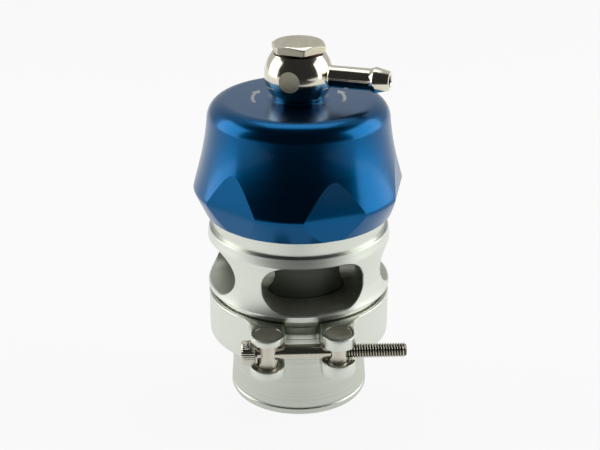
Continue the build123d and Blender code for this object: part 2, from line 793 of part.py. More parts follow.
pieces = [
    hose_adapter.part,
    joint_ring.part,
    port_housing.part,
    cap_seal_ring.part,
    cap.part,
    piston.part,
    piston_ring.part,
    guide_ring.part,
    face_seal.part,
    seal_retainer.part,
    retainer_screw.part,
    spring.part,
    spring_plate.part,
    thrust_washer.part,
    banjo_body.part,
    banjo_bolt.part,
    lower_banjo_washer.part,
    upper_banjo_washer.part,
    clamp_ring.part,
    plain_trunnion,
    threaded_trunnion,
    clamp_washer.part,
    clamp_bolt.part,
]
for piece in pieces:
    export_step(piece, f"parts/{piece.label}.step")
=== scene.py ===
from math import radians, tau

import bmesh
import bpy
import numpy as np
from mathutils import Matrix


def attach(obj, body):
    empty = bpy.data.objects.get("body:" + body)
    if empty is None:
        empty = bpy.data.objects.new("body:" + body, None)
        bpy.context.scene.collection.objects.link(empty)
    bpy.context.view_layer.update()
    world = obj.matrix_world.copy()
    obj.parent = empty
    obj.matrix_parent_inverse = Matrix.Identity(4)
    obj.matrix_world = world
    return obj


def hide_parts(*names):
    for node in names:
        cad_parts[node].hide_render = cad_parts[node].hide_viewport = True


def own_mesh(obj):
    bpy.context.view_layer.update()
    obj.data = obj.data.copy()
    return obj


# A vent-to-air blow-off valve. Shapes are worked out in millimetres and made in metres. The front is -Y,
# and an azimuth is counted from the front towards +X.
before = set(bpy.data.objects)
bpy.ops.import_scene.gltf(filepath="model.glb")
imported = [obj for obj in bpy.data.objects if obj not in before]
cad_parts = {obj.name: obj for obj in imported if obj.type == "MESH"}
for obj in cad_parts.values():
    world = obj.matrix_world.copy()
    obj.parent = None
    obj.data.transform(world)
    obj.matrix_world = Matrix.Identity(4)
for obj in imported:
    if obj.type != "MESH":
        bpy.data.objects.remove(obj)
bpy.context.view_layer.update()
MM = 0.001


# Tools for surfaces


def around(radius, azimuth, height):
    """Points on circles round the valve's axis: (r sin a, -r cos a, z), with a in radians."""
    radius, azimuth, height = np.broadcast_arrays(radius, azimuth, height)
    return np.stack([radius * np.sin(azimuth), -radius * np.cos(azimuth), height], -1)


def softened(corners, steps=5):
    """Closed outline with rounded corners. A corner (r, z, cut) becomes the curve (1-t)²A + 2t(1-t)C + t²B,
    which starts and ends that far from it, with one more point on each side to keep the faces flat."""
    points = np.array([corner[:2] for corner in corners], float)
    cuts = [corner[2] if len(corner) > 2 else 0.0 for corner in corners]
    t = np.linspace(0, 1, steps)[:, None]
    run = []
    for point, before, after, cut in zip(points, np.roll(points, 1, 0), np.roll(points, -1, 0), cuts):
        if not cut:
            run.append(point[None])
            continue
        back = (before - point) / np.hypot(*(before - point))
        forth = (after - point) / np.hypot(*(after - point))
        start, end = point + back * cut, point + forth * cut
        curve = (1 - t) ** 2 * start + 2 * t * (1 - t) * point + t**2 * end
        run += [start[None] + back * cut * 0.2, curve, end[None] + forth * cut * 0.2]
    run = np.concatenate(run)
    return np.vstack([run, run[:1]])


def circle_through(a, b, c):
    """Centre and radius of the circle through three points, where |p - m|² is the same for all three."""
    a, b, c = np.array([a, b, c], float)
    centre = np.linalg.solve(2 * np.array([b - a, c - a]), [b @ b - a @ a, c @ c - a @ a])
    return centre, np.hypot(*(a - centre))


def lathe(profile, columns):
    """Surface of revolution: each profile point (r, z) goes round the axis through the columns' azimuths."""
    return around(profile[:, :1], columns, profile[:, 1:])


def circle(count):
    """Equally spaced azimuths of a full turn."""
    return np.arange(count) * tau / count


def make_piece(name, body, replaced, materials, grids, crease=32.0, flat_faces=()):
    """One closed mesh from grids of points. A grid is (points in mm as rows x columns x 3, patch, closed,
    material number). Cells become faces, shared points are welded, and an edge stays sharp between two
    patches or past the crease angle."""
    points, faces, patches, finishes = [], [], [], []
    start = 0
    for grid, patch, closed, finish in grids:
        rows, columns = grid.shape[:2]
        index = start + np.arange(rows * columns).reshape(rows, columns)
        left, right = (index, np.roll(index, -1, 1)) if closed else (index[:, :-1], index[:, 1:])
        cells = np.stack([left[:-1], right[:-1], right[1:], left[1:]], -1).reshape(-1, 4)
        points.append(grid.reshape(-1, 3))
        faces += cells.tolist()
        patches += [patch] * len(cells)
        finishes += [finish] * len(cells)
        start += rows * columns
    for corners, patch, finish in flat_faces:
        points.append(corners)
        faces.append(list(range(start, start + len(corners))))
        patches.append(patch)
        finishes.append(finish)
        start += len(corners)
    mesh = bpy.data.meshes.new(name)
    mesh.from_pydata((np.concatenate(points) * MM).tolist(), [], faces)
    mesh.attributes.new("patch", "INT", "FACE").data.foreach_set("value", patches)
    mesh.polygons.foreach_set("material_index", finishes)
    work = bmesh.new()
    work.from_mesh(mesh)
    bmesh.ops.remove_doubles(work, verts=work.verts, dist=0.0015 * MM)
    bmesh.ops.dissolve_degenerate(work, edges=work.edges, dist=0.0005 * MM)
    bmesh.ops.recalc_face_normals(work, faces=work.faces)
    layer = work.faces.layers.int["patch"]
    limit = radians(crease)
    for face in work.faces:
        face.smooth = True
    for edge in work.edges:
        pair = edge.link_faces
        if len(pair) == 2:
            edge.smooth = pair[0][layer] == pair[1][layer] and pair[0].normal.angle(pair[1].normal, 0) < limit
    work.to_mesh(mesh)
    work.free()
    mesh.attributes.remove(mesh.attributes["patch"])
    piece = bpy.data.objects.new(name, mesh)
    bpy.context.scene.collection.objects.link(piece)
    for material in materials:
        mesh.materials.append(material)
    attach(piece, body)
    if replaced:
        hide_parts(replaced)
    return piece


# Windows in a wall of revolution: a stadium outline whose half width may grow with the distance from the axis


def window(azimuth, middle, corner, half_width, top_count, side_count, face=0.0, flare=0.0):
    """The window's outline as a loop of (e, c, s): across = e (half width - corner) + c corner, up = s corner.
    It runs along the top, down the right side, back along the bottom and up the left side."""
    straight = half_width - corner
    reach = straight + tau / 8 * corner
    along = np.linspace(-reach, reach, top_count, endpoint=False)
    over = np.clip(np.abs(along) - straight, 0, None) / corner
    e = np.clip(along / straight, -1, 1) if straight else np.sign(along)
    top = np.stack([e, np.sign(along) * np.sin(over), np.cos(over)])
    turn = np.linspace(tau / 8, -tau / 8, side_count, endpoint=False)
    side = np.stack([np.ones(side_count), np.cos(turn), np.sin(turn)])
    loop = np.concatenate([top, side, -top, -side], 1)
    return {"azimuth": radians(azimuth), "middle": middle, "corner": corner, "half": half_width,
            "face": face, "flare": flare, "loop": loop, "counts": (top_count, side_count)}


def across(hole, depth, expand=0.0):
    """How far the outline lies to the side of the window's middle at that distance from the axis."""
    e, c, _ = hole["loop"]
    half = hole["half"] + (depth - hole["face"]) * hole["flare"]
    return e * (half - hole["corner"]) + c * (hole["corner"] + expand)


def at_depth(hole, depth, expand=0.0):
    """The outline's points at that distance from the axis, measured along the window's own direction."""
    side = across(hole, depth, expand)
    height = hole["middle"] + hole["loop"][2] * (hole["corner"] + expand)
    return around(np.hypot(side, depth), hole["azimuth"] + np.arctan2(side, depth), height)


def on_wall(hole, radius_at, expand=0.0):
    """Distance at which each outline point meets the wall: d² + across(d)² = r(z)², found by halving steps."""
    radius = radius_at(hole["middle"] + hole["loop"][2] * (hole["corner"] + expand))
    depth = radius.copy()
    for _ in range(60):
        depth = (depth + np.sqrt(np.clip(radius**2 - across(hole, depth, expand) ** 2, 1, None))) / 2
    return depth


def wall_round(hole, radius_at, start, end, low, high, expand=0.0, rows=10):
    """The wall between the window and its sector's edges: azimuth and height run straight from the outline
    to the edge of the sector, and the radius is the wall's own at that height."""
    top_count, side_count = hole["counts"]
    depth = on_wall(hole, radius_at, expand)
    azimuth = hole["azimuth"] + np.arctan2(across(hole, depth, expand), depth)
    height = hole["middle"] + hole["loop"][2] * (hole["corner"] + expand)
    level = np.linspace(start, end, top_count, endpoint=False)
    upright = np.linspace(high, low, side_count, endpoint=False)
    edge_azimuth = np.concatenate([level, np.full(side_count, end), level[::-1] + (end - start) / top_count,
                                   np.full(side_count, start)])
    edge_height = np.concatenate([np.full(top_count, high), upright, np.full(top_count, low),
                                  upright[::-1] - (high - low) / side_count])
    share = np.linspace(0, 1, rows)[:, None] ** 1.3
    azimuth = azimuth + (edge_azimuth - azimuth) * share
    height = height + (edge_height - height) * share
    return around(radius_at(height), azimuth, height)


# Finishes


def linear(code):
    """An sRGB hex colour as linear light."""
    value = np.array([int(code[i : i + 2], 16) for i in (0, 2, 4)]) / 255
    light = np.where(value <= 0.04045, value / 12.92, ((value + 0.055) / 1.055) ** 2.4)
    return (*light.tolist(), 1.0)


def add(tree, kind, inputs=None, **settings):
    """Adds a node, sets its settings, and sets or links its inputs."""
    node = tree.nodes.new(kind)
    for key, value in settings.items():
        setattr(node, key, value)
    for key, value in (inputs or {}).items():
        if isinstance(value, bpy.types.NodeSocket):
            tree.links.new(value, node.inputs[key])
        else:
            node.inputs[key].default_value = value
    return node


def finish(name, colour, metallic, roughness, **sockets):
    """A material with its surface shader. Sockets that are the same all over are set here, on the shader."""
    material = bpy.data.materials.new(name)
    material.use_nodes = True
    tree = material.node_tree
    shader = tree.nodes["Principled BSDF"]
    values = {"Base Color": linear(colour), "Metallic": metallic, "Roughness": roughness}
    for key, value in {**values, **sockets}.items():
        shader.inputs[key.replace("_", " ")].default_value = value
    return material, tree, shader


def tint(tree, shader, colours, mask):
    """Colour that runs between two hex values by a mask."""
    mixed = add(tree, "ShaderNodeMix", {"Factor": mask}, data_type="RGBA")
    mixed.inputs["A"].default_value = linear(colours[0])
    mixed.inputs["B"].default_value = linear(colours[1])
    tree.links.new(mixed.outputs["Result"], shader.inputs["Base Color"])


def vary(tree, shader, socket, mask, low, high):
    """A number that runs between two values by a mask."""
    span = add(tree, "ShaderNodeMapRange", {"Value": mask, "To Min": low, "To Max": high})
    tree.links.new(span.outputs["Result"], shader.inputs[socket])


def raised(tree, shader, mask, height_mm, strength):
    """Relief of that depth by a mask."""
    bump = add(tree, "ShaderNodeBump", {"Height": mask, "Distance": height_mm * MM, "Strength": strength})
    tree.links.new(bump.outputs["Normal"], shader.inputs["Normal"])


def grain(tree, size_mm, stretch=(1, 1, 1), detail=3.0, vector=None):
    """Noise whose cells are about that many millimetres, drawn out by the stretch."""
    place = vector or add(tree, "ShaderNodeTexCoord").outputs["Object"]
    scaled = add(tree, "ShaderNodeVectorMath", {0: place, 1: stretch}, operation="MULTIPLY")
    inputs = {"Vector": scaled.outputs[0], "Scale": 1 / (size_mm * MM), "Detail": detail}
    noise = add(tree, "ShaderNodeTexNoise", inputs)
    return noise.outputs["Fac"]


def lathe_marks(tree, size_mm, centre=(0, 0, 0)):
    """Noise that depends only on the distance from a vertical axis and on height, so that it runs round."""
    place = add(tree, "ShaderNodeTexCoord").outputs["Object"]
    flat = add(tree, "ShaderNodeVectorMath", {0: place, 1: (1, 1, 0)}, operation="MULTIPLY")
    length = add(tree, "ShaderNodeVectorMath", {0: flat.outputs[0]}, operation="LENGTH")
    parts = add(tree, "ShaderNodeSeparateXYZ", {"Vector": place})
    turned = add(tree, "ShaderNodeCombineXYZ", {"X": length.outputs["Value"], "Z": parts.outputs["Z"]})
    return grain(tree, size_mm, detail=2.0, vector=turned.outputs["Vector"])


# Turned 6061 aluminium with a clear finish: pale grey, with fine rings left by the tool. The real rings are
# about 0.1 mm apart and are drawn at 0.45 mm so that they show.
turned_aluminium, tree, shader = finish("turned_aluminium", "DADED5", 1.0, 0.28)
rings = lathe_marks(tree, 0.45)
tint(tree, shader, ("D2D6CC", "E2E6DC"), rings)
vary(tree, shader, "Roughness", rings, 0.25, 0.36)
raised(tree, shader, rings, 0.012, 0.35)

# The same metal with a coarser cut, on the hose end: the rings are 0.7 mm apart and can be felt.
coarse_aluminium, tree, shader = finish("coarse_turned_aluminium", "CDD1C7", 1.0, 0.34)
rings = lathe_marks(tree, 0.7)
tint(tree, shader, ("BFC4B9", "DADED3"), rings)
vary(tree, shader, "Roughness", rings, 0.30, 0.45)
raised(tree, shader, rings, 0.02, 0.5)

# The same metal where the ports were milled: matt and darker, with the cutter's chatter drawn at 0.8 mm.
milled_aluminium, tree, shader = finish("milled_aluminium", "C9CCC0", 1.0, 0.5)
chatter = grain(tree, 0.8)
tint(tree, shader, ("BCC0B3", "D6D9CD"), chatter)
vary(tree, shader, "Roughness", chatter, 0.40, 0.54)

# Polished aluminium under a dyed blue oxide film: deep blue metal with a clear gloss on top. The polishing
# rings are hair-fine, drawn at 0.6 mm.
blue_anodised, tree, shader = finish(
    "blue_anodised_aluminium", "005388", 1.0, 0.24, Coat_Weight=0.12, Coat_Roughness=0.08, Coat_IOR=1.6
)
rings = lathe_marks(tree, 0.6)
tint(tree, shader, ("004D7C", "005586"), rings)
vary(tree, shader, "Roughness", rings, 0.22, 0.29)
raised(tree, shader, rings, 0.004, 0.25)

# Laser-etched aluminium oxide: the dye is burnt away and leaves a dry pale grey.
etched, tree, shader = finish("etched_oxide", "B9C0C2", 0.2, 0.6)
speckle = grain(tree, 0.25)
tint(tree, shader, ("A9B0B2", "C8CED0"), speckle)

# Bright nickel plate on brass: a warm mirror, a little hazy, with faint orange peel about 1.5 mm across.
bright_nickel, tree, shader = finish("bright_nickel_plate", "DDD8C8", 1.0, 0.14)
peel = grain(tree, 1.5, detail=1.0)
vary(tree, shader, "Roughness", peel, 0.11, 0.18)
raised(tree, shader, peel, 0.004, 0.3)

# The same plate where it was ground flat before plating: straight scratches, drawn at 0.3 mm.
ground_nickel, tree, shader = finish("ground_nickel_plate", "CFCAB4", 1.0, 0.42)
scratches = grain(tree, 0.3, stretch=(1, 0.05, 1), detail=4.0)
tint(tree, shader, ("B5B09A", "E2DDC9"), scratches)
vary(tree, shader, "Roughness", scratches, 0.34, 0.52)
raised(tree, shader, scratches, 0.01, 0.5)

# Satin nickel plate on steel: beige-grey, smooth and soft, with clouds about 2 mm across.
satin_nickel, tree, shader = finish("satin_nickel_plate", "CECABC", 1.0, 0.2)
cloud = grain(tree, 2.0, detail=1.0)
tint(tree, shader, ("C5C1B3", "D7D3C6"), cloud)
vary(tree, shader, "Roughness", cloud, 0.17, 0.23)

# The same plate on tumbled pins: duller, so that it takes the mean of what is round it.
tumbled_nickel, tree, shader = finish("tumbled_nickel_plate", "DAD5C6", 1.0, 0.38)
cloud = grain(tree, 2.0, detail=1.0)
tint(tree, shader, ("D0CBBC", "E2DDCF"), cloud)
vary(tree, shader, "Roughness", cloud, 0.34, 0.42)

# The same plate over a rolled thread, with painted shade in the roots: dark at 1.5 mm and light at 1.9 mm from
# the bolt's own line.
CLAMP_AZIMUTH = radians(2.3)
EAR_X, EAR_Y, EAR_R = 9.2, -28.2, 4.5
BOLT_Z = 25.3
THREAD_ROOT, THREAD_CREST = 1.5, 1.9
bolt_line = (0, EAR_Y * MM, BOLT_Z * MM)
root_shaded_nickel, tree, shader = finish("threaded_nickel_plate", "C8C4B6", 1.0, 0.24)
place = add(tree, "ShaderNodeTexCoord").outputs["Object"]
level = add(tree, "ShaderNodeMapping", {"Vector": place, "Rotation": (0, 0, -CLAMP_AZIMUTH)})
from_line = add(tree, "ShaderNodeVectorMath", {0: level.outputs[0], 1: bolt_line}, operation="SUBTRACT")
crosswise = add(tree, "ShaderNodeVectorMath", {0: from_line.outputs[0], 1: (0, 1, 1)}, operation="MULTIPLY")
reach = add(tree, "ShaderNodeVectorMath", {0: crosswise.outputs[0]}, operation="LENGTH")
painted_root_shade = add(tree, "ShaderNodeMapRange", {
    "Value": reach.outputs["Value"], "From Min": THREAD_ROOT * MM, "From Max": THREAD_CREST * MM,
})
# painted shade: the thread's roots dark, its crests light
tint(tree, shader, ("4A483F", "D9D5C8"), painted_root_shade.outputs["Result"])
vary(tree, shader, "Roughness", painted_root_shade.outputs["Result"], 0.45, 0.2)

# Hard-anodised aluminium: charcoal, dry and slightly green, with lathe rings under the film.
hard_anodised, tree, shader = finish("hard_anodised_aluminium", "62675B", 0.25, 0.5)
rings = lathe_marks(tree, 0.4)
tint(tree, shader, ("585D52", "6C7165"), rings)
vary(tree, shader, "Roughness", rings, 0.44, 0.58)

# Nitrile rubber, moulded: nearly black, with a dull skin.
nitrile_rubber, tree, shader = finish("nitrile_rubber", "15161A", 0.0, 0.55)
skin = grain(tree, 0.15)
tint(tree, shader, ("111214", "1D1E22"), skin)
vary(tree, shader, "Roughness", skin, 0.48, 0.66)
raised(tree, shader, skin, 0.006, 0.4)

# Filled bearing plastic, turned: waxy, pale brown.
bearing_plastic, tree, shader = finish("bearing_plastic", "A39A82", 0.0, 0.42)
fleck = grain(tree, 0.3)
tint(tree, shader, ("978E77", "AEA58D"), fleck)
vary(tree, shader, "Roughness", fleck, 0.36, 0.5)

# Zinc-plated steel: cool grey with a light haze.
zinc_steel, tree, shader = finish("zinc_plated_steel", "A8AAAC", 1.0, 0.32)
haze = grain(tree, 0.5)
tint(tree, shader, ("9C9EA0", "B6B8BA"), haze)
vary(tree, shader, "Roughness", haze, 0.26, 0.4)

# Annealed copper, stamped: very dark brown all over, with darker and lighter patches about 0.9 mm across.
stamped_copper, tree, shader = finish("stamped_copper", "2E211A", 1.0, 0.45)
blotches = grain(tree, 0.9)
tint(tree, shader, ("231914", "3A2A21"), blotches)
vary(tree, shader, "Roughness", blotches, 0.3, 0.45)

# CAD nodes whose shape is right keep it and take these finishes
for names, material in (
    ("joint_ring cap_seal_ring piston_ring face_seal", nitrile_rubber),
    ("guide_ring thrust_washer", bearing_plastic),
    ("piston seal_retainer spring_plate", hard_anodised),
    ("retainer_screw", zinc_steel),
    ("lower_banjo_washer upper_banjo_washer", stamped_copper),
    ("plain_trunnion threaded_trunnion", tumbled_nickel),
    ("clamp_washer", satin_nickel),
):
    for name in names.split():
        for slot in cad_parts[name].material_slots:
            slot.material = material


# Port housing

PORT_COUNT, PORT_MIDDLE, PORT_CORNER, PORT_ANGLE, PORT_AZIMUTH, PORT_FLARE = 4, 40.6, 6.5, 69.0, 10.7, 0.1
WAIST_LOW, WAIST_HIGH, WAIST_R, RIM_R = 33.4, 48.2, 23.9, 24.9
COLLAR_R, COLLAR_LOW, COLLAR_TOP, COLLAR_TOP_R = 24.8, 47.0, 49.75, 24.35
BORE, BAND_R, SEAL_GROOVE_R = 15.2, 23.3, 21.65
FLANGE_R, SOCKET_R = 22.6, 18.8
waist_centre, waist_circle = circle_through((RIM_R, WAIST_LOW), (WAIST_R, PORT_MIDDLE), (COLLAR_R, COLLAR_LOW))


def waist_radius(height):
    """The waist's hollow, r = centre - sqrt(R² - (z - middle)²), up to the collar, which leans in evenly."""
    hollow = waist_centre[0] - np.sqrt(waist_circle**2 - (height - waist_centre[1]) ** 2)
    collar = np.interp(height, (COLLAR_LOW, COLLAR_TOP), (COLLAR_R, COLLAR_TOP_R))
    return np.where(height < COLLAR_LOW, hollow, collar)


def bore_radius(height):
    """The bore is straight."""
    return np.full_like(height, BORE)


port_break = 0.25
port_columns = 52
grids = []
for port in range(PORT_COUNT):
    azimuth = PORT_AZIMUTH + port * 360 / PORT_COUNT
    start = radians(azimuth) - tau / PORT_COUNT / 2
    end = start + tau / PORT_COUNT
    half_angle = radians(PORT_ANGLE / 2)
    hole = window(azimuth, PORT_MIDDLE, PORT_CORNER, WAIST_R * np.sin(half_angle), port_columns, 24,
                  face=WAIST_R * np.cos(half_angle), flare=PORT_FLARE)
    outer = on_wall(hole, waist_radius, port_break)
    edge = on_wall(hole, waist_radius)
    inner = on_wall(hole, bore_radius)
    wall_start = edge - port_break
    tunnel = [
        at_depth(hole, wall_start + (inner - edge + port_break) * share) for share in np.linspace(0, 1, 8)
    ]
    grids += [
        (wall_round(hole, waist_radius, start, end, WAIST_LOW, WAIST_HIGH, port_break), 1, True, 0),
        (np.stack([at_depth(hole, outer, port_break), tunnel[0]]), 2, True, 0),
        (np.stack(tunnel), 3, True, 1),
        (wall_round(hole, bore_radius, start, end, WAIST_LOW, WAIST_HIGH), 4, True, 0),
    ]
first_column = radians(PORT_AZIMUTH) - tau / PORT_COUNT / 2
columns = first_column + circle(PORT_COUNT * port_columns)
upper = softened([
    (float(waist_radius(WAIST_HIGH)), WAIST_HIGH), (COLLAR_TOP_R, COLLAR_TOP, 0.06), (24.2, 49.9, 0.06),
    (BAND_R, 49.9, 0.1), (BAND_R, 56.35, 0.08), (SEAL_GROOVE_R, 56.35, 0.1), (SEAL_GROOVE_R, 58.15, 0.1),
    (BAND_R, 58.15, 0.08), (BAND_R, 66.85, 0.4), (15.9, 66.85, 0.15), (BORE, 65.65, 0.15), (BORE, WAIST_HIGH),
])[:-1]
lower = softened([
    (RIM_R, WAIST_LOW), (RIM_R, 32.9, 0.12), (23.4, 32.9, 0.1), (23.4, 31.1, 0.15), (20.4, 31.1, 0.15),
    (20.4, 28.0, 0.15), (FLANGE_R, 27.2, 0.12), (FLANGE_R, 25.8, 0.12), (SOCKET_R, 25.8, 0.1),
    (SOCKET_R, 27.7, 0.1), (BORE, 27.7, 0.15), (BORE, WAIST_LOW),
])[:-1]
grids += [(lathe(upper, columns), 5, True, 0), (lathe(lower, columns), 6, True, 0)]
make_piece("port_housing_turned", "valve_body", "port_housing",
           [turned_aluminium, milled_aluminium], grids, 34)

# Hose end: a tube with a lip, a tapering throat, the seat and the lower flange
TUBE_BORE, TUBE_R, THROAT_R, SPIGOT_R = 16.3, 18.65, 13.6, 18.7
RING_GROOVE_IN, RING_GROOVE_OUT = 19.65, 20.95
profile = softened([
    (TUBE_BORE, 0.0, 0.12), (18.6, 0.0, 0.3), (19.15, 1.0, 0.3), (19.1, 1.9, 0.2), (18.8, 2.3, 0.15),
    (19.05, 2.8, 0.3), (TUBE_R, 7.0, 2.5), (TUBE_R, 22.8, 0.3), (20.4, 23.6, 0.3), (FLANGE_R, 24.4, 0.12),
    (FLANGE_R, 25.8, 0.12), (RING_GROOVE_OUT, 25.8, 0.1), (RING_GROOVE_OUT, 24.55, 0.1),
    (RING_GROOVE_IN, 24.55, 0.1), (RING_GROOVE_IN, 25.8, 0.1), (SPIGOT_R, 25.8, 0.1), (SPIGOT_R, 27.6, 0.15),
    (14.85, 27.6, 0.1), (14.5, 28.3, 0.15), (THROAT_R, 28.3, 0.15), (THROAT_R, 19.8, 1.5),
    (TUBE_BORE, 9.8, 1.5),
])
make_piece("hose_end_turned", "valve_body", "hose_adapter", [coarse_aluminium],
           [(lathe(profile, circle(180)), 0, True, 0)])


# Cap: a bell with a sharp knee and six facets

CAP_LOW, KNEE, CAP_TOP = 54.6, 61.35, 85.05
LIP_R, KNEE_R, KNEE_SOFT = 25.2, 28.4, 0.2
bell_centre, bell_circle = circle_through((KNEE_R, KNEE), (25.45, 71.55), (23.75, CAP_TOP))


def bell_radius(height):
    """The bell's hollow side: r = centre - sqrt(R² - (z - middle)²)."""
    return bell_centre[0] - np.sqrt(bell_circle**2 - (height - bell_centre[1]) ** 2)


def facet_distance(height):
    """Distance of a facet from the axis: two even slopes, above and below a soft crest at the knee."""
    apex, lean, fall, blend = 27.05, 0.152, 0.29, 1.2
    offset = height - KNEE
    soft = np.sqrt(offset**2 + (blend / 2) ** 2)
    return apex - (lean + fall) / 2 * soft - (lean - fall) / 2 * offset


def outer_radius(height):
    """The cap's side before its facets: the cone and the bell, blended where they meet by
    (a + b) / 2 - sqrt(((a - b) / 2)² + e²)."""
    cone = LIP_R + (KNEE_R - LIP_R) * (height - CAP_LOW) / (KNEE - CAP_LOW)
    bell = bell_radius(height)
    return (cone + bell) / 2 - np.sqrt(((cone - bell) / 2) ** 2 + KNEE_SOFT**2)


facet_azimuths = radians(20) + circle(6)
peaks = np.linspace(KNEE, CAP_TOP - 8, 4000)
run_out = facet_distance(peaks) >= outer_radius(peaks)
assert run_out.any(), "the facets have to run out below the shoulder"
peak = peaks[np.argmax(run_out)]


FACET_COLUMNS, BELL_COLUMNS = 14, 22


def cap_columns(radius, height, facet_count=FACET_COLUMNS, bell_count=BELL_COLUMNS):
    """Azimuths of one row: columns follow each facet's edges, where cos(a) = facet distance / radius."""
    half = np.arccos(np.clip(facet_distance(height) / radius, -1, 1))
    half = np.where(height > peak, np.minimum(0.12, 0.05 * np.sqrt(np.clip(height - peak, 0, None))), half)
    inside = np.linspace(-1, 1, facet_count, endpoint=False) * half[:, None]
    outside = half[:, None] + np.linspace(0, 1, bell_count, endpoint=False) * (tau / 6 - 2 * half[:, None])
    sector = np.concatenate([inside, outside], 1)
    return (facet_azimuths[None, :, None] + sector[:, None, :]).reshape(len(radius), -1)


def faceted(radius, height):
    """Rows of the cap's outside: r = min(bell, facet distance / cos(a - facet's azimuth))."""
    azimuth = cap_columns(radius, height)
    from_facet = (azimuth[:, :, None] - facet_azimuths + tau / 12) % (tau / 6) - tau / 12
    nearest = np.abs(from_facet).min(-1)
    cut = facet_distance(height)[:, None] / np.cos(nearest)
    radius, height = radius[:, None], height[:, None]
    return around(np.where(height > peak, radius, np.minimum(radius, cut)), azimuth, height)


fillet = 5.0
fillet_z = CAP_TOP - fillet
fillet_r = bell_centre[0] - np.sqrt((bell_circle + fillet) ** 2 - (fillet_z - bell_centre[1]) ** 2)
toward = np.array(bell_centre) - (fillet_r, fillet_z)
touch = np.arctan2(toward[1], toward[0])
touch_z = fillet_z + fillet * np.sin(touch)
cone_z = np.linspace(CAP_LOW, KNEE, 24)
lower_z = peak - (peak - KNEE) * np.linspace(1, 0, 56) ** 2
upper_z = np.linspace(peak, touch_z, 26)
turn = np.linspace(touch, tau / 4, 20)
shoulder = np.stack([fillet_r + fillet * np.cos(turn), fillet_z + fillet * np.sin(turn)], 1)
top = softened([
    (fillet_r, CAP_TOP), (8.1, CAP_TOP, 0.5), (7.1, 85.3, 0.3), (6.9, 85.65, 0.12), (6.35, 85.65, 0.1),
    (6.35, 85.3, 0.1), (4.0, 85.3, 0.1), (4.0, 79.85, 0.1), (19.7, 79.85), (20.5, 79.05), (20.5, 75.2, 0.1),
    (23.4, 72.3, 0.1), (23.4, 55.0), (23.8, CAP_LOW),
])[:-1]
lip = np.array([(23.8, CAP_LOW), (24.3, CAP_LOW), (float(outer_radius(CAP_LOW)), CAP_LOW)])
bell_z = np.concatenate([lower_z, upper_z[1:]])
outside = [
    (faceted(lip[:, 0], lip[:, 1]), 1),
    (faceted(outer_radius(cone_z), cone_z), 3),
    (faceted(outer_radius(bell_z), bell_z), 3),
    (faceted(shoulder[:, 0], shoulder[:, 1]), 3),
]
grids = []
per_sector = FACET_COLUMNS + BELL_COLUMNS
for rows, patch in outside:
    if patch == 3:
        below_peak = max(int(np.searchsorted(rows[:, 0, 2], peak + 1e-6)), 1)
        for sector in range(6):
            first = sector * per_sector
            order = np.arange(first, first + per_sector + 1) % (6 * per_sector)
            part = rows[:, order]
            if below_peak > 1:
                facet, bell = part[:below_peak, : FACET_COLUMNS + 1], part[:below_peak, FACET_COLUMNS:]
                grids += [(facet, 7 + sector, False, 0), (bell, patch, False, 0)]
            if below_peak < len(rows):
                grids.append((part[below_peak - 1 :], 3, False, 0))
    else:
        grids.append((rows, patch, True, 0))
shoulder_columns = cap_columns(shoulder[-1:, 0], shoulder[-1:, 1])[0]
lip_columns = cap_columns(lip[:1, 0], lip[:1, 1])[0]
share = np.linspace(0, 1, len(top))[:, None]
top_columns = shoulder_columns + (lip_columns - shoulder_columns) * share
grids.append((around(top[:, :1], top_columns, top[:, 1:]), 5, True, 0))
make_piece("cap_anodised", "cap", "cap", [blue_anodised], grids, 40)


# Turn marks etched on the cap's top: two plain curved arrows

def arrow(side, radius=12.0):
    """A flat band along an arc that widens into a point: half width w(t) across, 0.04 mm thick
    and half sunk into the cap."""
    turn = np.concatenate([np.linspace(70, 108, 20), [108.01], np.linspace(110, 122, 8)])
    half = np.concatenate([np.full(20, 0.45), [1.25], np.linspace(1.07, 0.0, 8)])
    azimuth = side * np.radians(turn)
    low, high = CAP_TOP - 0.02, CAP_TOP + 0.02
    corners = [(radius - half, low), (radius + half, low), (radius + half, high), (radius - half, high)]
    loop = np.stack([around(r, azimuth, z) for r, z in corners], 1)
    tail, tip = (end.mean(1, keepdims=True).repeat(4, 1) for end in (loop[:1], loop[-1:]))
    return np.concatenate([tail, loop, tip])


make_piece("turn_arrows", "cap", "", [etched],
           [(arrow(1), 0, True, 0), (arrow(-1), 0, True, 0)])


# Clamp ring: a split ring with a conical groove, and two slotted ears

GAP = 4.7
RING_R, EAR_BLEND = 24.8, 6.0
CLAMP_LIP_R, CLAMP_GROOVE_R = 21.0, 23.0


def clamp_frame(points):
    """Turns points from the clamp's own directions into the valve's."""
    x, y, z = np.moveaxis(points, -1, 0)
    c, s = np.cos(CLAMP_AZIMUTH), np.sin(CLAMP_AZIMUTH)
    return np.stack([x * c - y * s, x * s + y * c, z], -1)


section = softened([
    (CLAMP_LIP_R, 18.6, 0.4), (RING_R, 18.6, 0.45), (RING_R, 30.8, 0.3), (23.9, 30.8, 0.12),
    (CLAMP_LIP_R, 29.3, 0.12), (CLAMP_LIP_R, 27.83, 0.1), (CLAMP_GROOVE_R, 27.1, 0.1),
    (CLAMP_GROOVE_R, 24.5, 0.1), (CLAMP_LIP_R, 23.77, 0.1),
])
gap_angle = np.arcsin(GAP / section[:, :1])
ring_columns = gap_angle + np.linspace(0, 1, 240) * (tau - 2 * gap_angle)
ring = clamp_frame(around(section[:, :1], ring_columns, section[:, 1:]))
grids = [(ring, 0, False, 0)]
ends = [(ring[:-1, 0], 1, 0), (ring[:-1, -1], 1, 0)]


